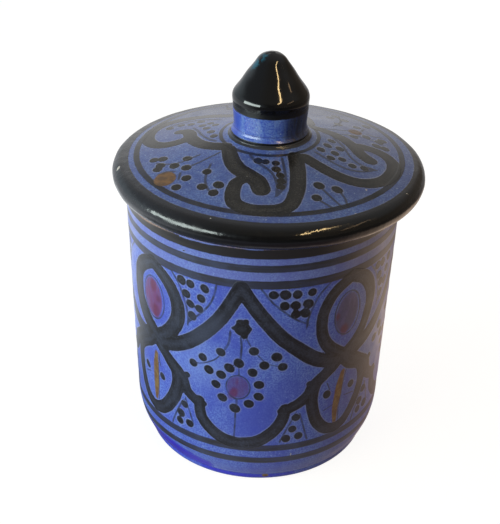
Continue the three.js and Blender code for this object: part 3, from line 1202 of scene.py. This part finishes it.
WHITE = (1.0, 1.0, 1.0, 1.0)
NO_COLOUR = (0.0, 0.0, 0.0, 1.0)
ROOM_BACK = (0.94, 0.93, 0.93, 1.0)
ROOM_FRONT = (0.08, 0.075, 0.07, 1.0)
ROOM_LEFT = (0.48, 0.56, 0.61, 1.0)
ROOM_LEFT_TOP = (0.2, 0.22, 0.24, 1.0)
ROOM_RIGHT = (0.19, 0.16, 0.13, 1.0)
ROOM_TOP = (0.32, 0.32, 0.32, 1.0)
ROOM_TOP_FRONT = (0.2, 0.19, 0.17, 1.0)
FLOOR_PAINT = (0.25, 0.25, 0.25, 1.0)
FLOOR_GLOW = 0.88
FLOOR_HALF = 6.0
ALL_ROUND = range(-180, 181, 30)
FLAG_AZIMUTHS = range(25, 80, 9)
FLAG_DISTANCE = 0.16
FLAG_HEIGHT = 0.25

# What the gloss sees of the floor by the pot's foot, near it, far from it and beyond, by azimuth in degrees
FOOT_TONES = [
    (-180, (0.5, 0.5, 0.5)), (-130, (0.15, 0.15, 0.16)), (-45, (0.12, 0.12, 0.14)), (-20, (0.42, 0.42, 0.46)),
    (40, (0.42, 0.35, 0.36)), (90, (0.55, 0.38, 0.34)), (180, (0.6, 0.45, 0.4)),
]
NEAR_TONES = [
    (-180, (0.6, 0.6, 0.62)), (-150, (1.2, 1.25, 1.3)), (-120, (1.0, 1.05, 1.1)), (-90, (0.2, 0.22, 0.24)),
    (-40, (0.16, 0.18, 0.23)), (-10, (0.16, 0.14, 0.17)), (42, (0.16, 0.11, 0.12)), (68, (0.62, 0.45, 0.36)),
    (115, (1.2, 0.9, 0.68)), (140, (0.5, 0.4, 0.34)), (180, (0.4, 0.4, 0.4)),
]
FAR_TONES = [
    (-180, (0.6, 0.6, 0.62)), (-150, (1.2, 1.25, 1.3)), (-90, (1.0, 1.05, 1.1)), (-50, (0.5, 0.52, 0.54)),
    (-20, (0.25, 0.26, 0.32)), (10, (0.18, 0.17, 0.2)), (50, (0.2, 0.17, 0.17)), (75, (0.9, 0.66, 0.5)),
    (115, (1.3, 0.98, 0.75)), (138, (0.4, 0.32, 0.27)), (180, (0.4, 0.4, 0.4)),
]
EDGE_TONES = [
    (-180, (0.6, 0.6, 0.62)), (-90, (0.7, 0.75, 0.8)), (-40, (0.12, 0.12, 0.13)), (20, (0.06, 0.06, 0.06)),
    (120, (0.16, 0.13, 0.11)), (180, (0.6, 0.6, 0.62)),
]
# Those tones by their distance from the axis
FLOOR_RINGS = [
    (0.03, FOOT_TONES), (0.065, FOOT_TONES), (0.095, NEAR_TONES), (0.15, NEAR_TONES), (0.19, FAR_TONES),
    (0.24, FAR_TONES), (0.32, EDGE_TONES), (5.9, EDGE_TONES),
]
TONE_COLUMNS = 72
TONE_LIFT = Vector((0, 0, 0.0004))


def towards(azimuth, elevation=0):
    """The direction from the pot to an azimuth, to the right of the viewer, and an elevation."""
    turn = math.radians(azimuth)
    lift = math.radians(elevation)
    return Vector((math.sin(turn) * math.cos(lift), -math.cos(turn) * math.cos(lift), math.sin(lift)))


def glowing(name, strength, paint=NO_COLOUR):
    """A matt material that glows white by that strength."""
    surface = Surface(name)
    surface.set(Base_Color=paint, Roughness=1.0, Specular_IOR_Level=0.0)
    surface.set(Emission_Color=WHITE, Emission_Strength=strength)
    return surface


def add_stage_mesh(name, corners, faces, surface):
    mesh = bpy.data.meshes.new(name)
    mesh.from_pydata(corners, [], faces)
    mesh.materials.append(surface.material)
    thing = link(name, mesh)
    return thing


def show_only_to(card, camera=False, gloss=False, soft=False):
    card.visible_camera = camera
    card.visible_glossy = gloss
    card.visible_diffuse = soft
    card.visible_shadow = False
    card.visible_transmission = False


def add_floor():
    """A matt floor. The camera and mirrors see it as white paper that still takes the pot's shadow."""
    surface = glowing("floor", 0.0, FLOOR_PAINT)
    path = surface.node("LightPath").outputs
    seen = surface.math("MAXIMUM", path["Is Camera Ray"], path["Is Glossy Ray"])
    seen = surface.math("MAXIMUM", seen, path["Is Transmission Ray"])
    surface.set(Emission_Strength=surface.times(seen, FLOOR_GLOW))
    corners = [(x * FLOOR_HALF, y * FLOOR_HALF, 0) for x, y in ((-1, -1), (1, -1), (1, 1), (-1, 1))]
    add_stage_mesh("floor", corners, [(0, 1, 2, 3)], surface)


def add_floor_tones():
    """A ring just over the floor that shows only in the gloss, in the tones of the table round the pot."""
    surface = glowing("floor_tones", 1.0)
    surface.set(Emission_Color=surface.field("tone", "Color"))
    turns = np.linspace(-180, 180, TONE_COLUMNS, endpoint=False)
    corners, colours, faces = [], [], []
    for ring, (distance, stops) in enumerate(FLOOR_RINGS):
        azimuths, tones = zip(*stops)
        channels = [np.interp(turns, azimuths, channel) for channel in zip(*tones)]
        outer = ring * TONE_COLUMNS
        inner = outer - TONE_COLUMNS
        for column, turn in enumerate(turns):
            corners.append(towards(turn) * distance + TONE_LIFT)
            colours += [channel[column] for channel in channels] + [1.0]
            beside = (column + 1) % TONE_COLUMNS
            if ring:
                faces.append((inner + column, outer + column, outer + beside, inner + beside))
    card = add_stage_mesh("floor_tones", corners, faces, surface)
    tone = card.data.attributes.new("tone", "FLOAT_COLOR", "POINT")
    tone.data.foreach_set("color", colours)
    show_only_to(card, gloss=True)


def add_upright(name, azimuths, distance, height, glow):
    """A card that stands on the floor and runs through the given azimuths."""
    corners = []
    for lift in (0, height):
        corners += [towards(azimuth) * distance + Vector((0, 0, lift)) for azimuth in azimuths]
    count = len(azimuths)
    faces = [(low, low + 1, low + 1 + count, low + count) for low in range(count - 1)]
    return add_stage_mesh(name, corners, faces, glowing(name, glow))


def add_cards():
    """A far white wall that ends low views in white, and a dark card that takes soft light off the right."""
    backdrop = add_upright("backdrop", ALL_ROUND, FLOOR_HALF, FLOOR_HALF, glow=1.0)
    show_only_to(backdrop, camera=True)
    flag = add_upright("flag", FLAG_AZIMUTHS, FLAG_DISTANCE, FLAG_HEIGHT, glow=0.0)
    show_only_to(flag, soft=True)


LAMP_AIM = Vector((0, 0, 0.08))
LAMP_DISTANCE = 1.0


def add_lamp(name, azimuth, elevation, size, tint, power, lean=0.0, glossy=True):
    """A flat lamp that faces the pot. Its top may lean to the right, and the gloss may show it."""
    lamp = bpy.data.lights.new(name, "AREA")
    lamp.shape = "RECTANGLE"
    lamp.size, lamp.size_y = size
    lamp.color = tint
    lamp.energy = power
    away = towards(azimuth, elevation)
    facing = (-away).to_track_quat("-Z", "Y")
    thing = link(name, lamp)
    thing.location = LAMP_AIM + away * LAMP_DISTANCE
    thing.rotation_euler = (facing @ Quaternion((0, 0, 1), math.radians(-lean))).to_euler()
    thing.visible_camera = False
    thing.visible_glossy = glossy


def add_lamps():
    add_lamp("window", -59, 9, (0.95, 0.32), (0.87, 1.0, 0.96), power=9.6)
    add_lamp("room_lamp", 40, 50, (0.05, 0.7), (1.0, 0.7, 0.33), power=2.8, lean=48)
    add_lamp("far_lamp", 66, 32, (0.03, 0.45), (1.0, 0.66, 0.36), power=0.2, lean=72)
    add_lamp("fill", -88, 20, (0.8, 0.6), (0.9, 1.0, 0.98), power=1.6, glossy=False)
    add_lamp("back_fill", 140, 6, (0.8, 0.6), (1.0, 1.0, 1.0), power=2.4, glossy=False)


def add_world():
    """Soft light all round: white behind, cool on the left, grey above, and dim and warm elsewhere."""
    world = bpy.data.worlds.new("studio")
    world.use_nodes = True
    nodes = Nodes(world.node_tree)
    split = nodes.node("SeparateXYZ")
    nodes.fill(split.inputs[0], nodes.node("TexCoord").outputs["Generated"])

    def side(axis, low, high, first, second):
        return nodes.mix(nodes.ramp(split.outputs[axis], low, high), first, second)

    light = side("Y", -0.3, 0.5, ROOM_FRONT, ROOM_BACK)
    light = side("X", 0.05, 0.55, light, ROOM_RIGHT)
    light = side("Z", 0.3, 0.7, light, side("Y", -0.7, 0.1, ROOM_TOP_FRONT, ROOM_TOP))
    light = side("X", -0.8, -0.1, side("Z", 0.25, 0.5, ROOM_LEFT, ROOM_LEFT_TOP), light)
    nodes.fill_all(world.node_tree.nodes["Background"], Color=light)
    bpy.context.scene.world = world


# Camera, in millimetres and degrees
IMAGE_HEIGHT = 524
FOCAL_PIXELS = 1000
SENSOR = 36.0
CAMERA_AIM = (-4.2255, 0.0, 71.0)
CAMERA_DISTANCE = 387.988
CAMERA_ELEVATION = 30.664
CAMERA_ROLL = 1.37


def add_camera():
    """The photograph's camera: a little above the pot, and turned a little about its own line of sight."""
    camera = bpy.data.cameras.new("camera")
    camera.sensor_width = SENSOR
    camera.lens = FOCAL_PIXELS * SENSOR / IMAGE_HEIGHT
    camera.clip_start = 0.01
    back = towards(0, CAMERA_ELEVATION)
    right = Vector((1, 0, 0))
    up = back.cross(right)
    roll = math.radians(CAMERA_ROLL)
    across = right * math.cos(roll) + up * math.sin(roll)
    upright = up * math.cos(roll) - right * math.sin(roll)
    matrix = Matrix((across, upright, back)).transposed().to_4x4()
    matrix.translation = (Vector(CAMERA_AIM) + back * CAMERA_DISTANCE) * MM
    thing = link("camera", camera)
    thing.matrix_world = matrix
    bpy.context.scene.camera = thing


# The object. A ripple leaves the foot, the lip, the lid's painted top and the knob's neck as they are.
RIPPLE_LOW = 5
RIPPLE_HIGH = 104
RIPPLE_FADE = 3


def make_pot():
    turned = Turned(*pot_outline())
    fields = paint_pot(turned)
    wall = outside_of(turned) & (turned.height > RIPPLE_LOW) & (turned.height < RIPPLE_HIGH)
    turned.press(np.where(wall, turned.ripple(3, 14, depth=0.03, seed=3), 0))
    piece("herb_pot", turned, 0, 0, fields, pot_glaze(), "pot_body", "pot")


def make_lid():
    turned = Turned(*lid_outline())
    fields = paint_lid(turned)
    roll = top_of(turned) * np.clip((turned.radius - LID_RIM_PAINT) / RIPPLE_FADE, 0, 1)
    turned.press(roll * turned.ripple(6, 30, depth=0.03, seed=8))
    piece("herb_pot_lid", turned, LID_AXIS, POT_HEIGHT, fields, lid_glaze(), "lid", "lid")


def make_knob():
    turned = Turned(*knob_outline())
    fields = paint_knob(turned)
    cap = (turned.height > CAP_EDGE) & (turned.radius > 1)
    turned.press(np.where(cap, turned.ripple(2, 6, depth=0.035, seed=4), 0))
    piece("herb_pot_knob", turned, LID_AXIS, KNOB_FOOT, fields, knob_glaze(), "lid_knob", "lid")


add_camera()
add_world()
add_floor()
add_floor_tones()
add_cards()
add_lamps()
make_pot()
make_lid()
make_knob()

bpy.context.scene.view_settings.view_transform = "Standard"

bpy.context.view_layer.update()
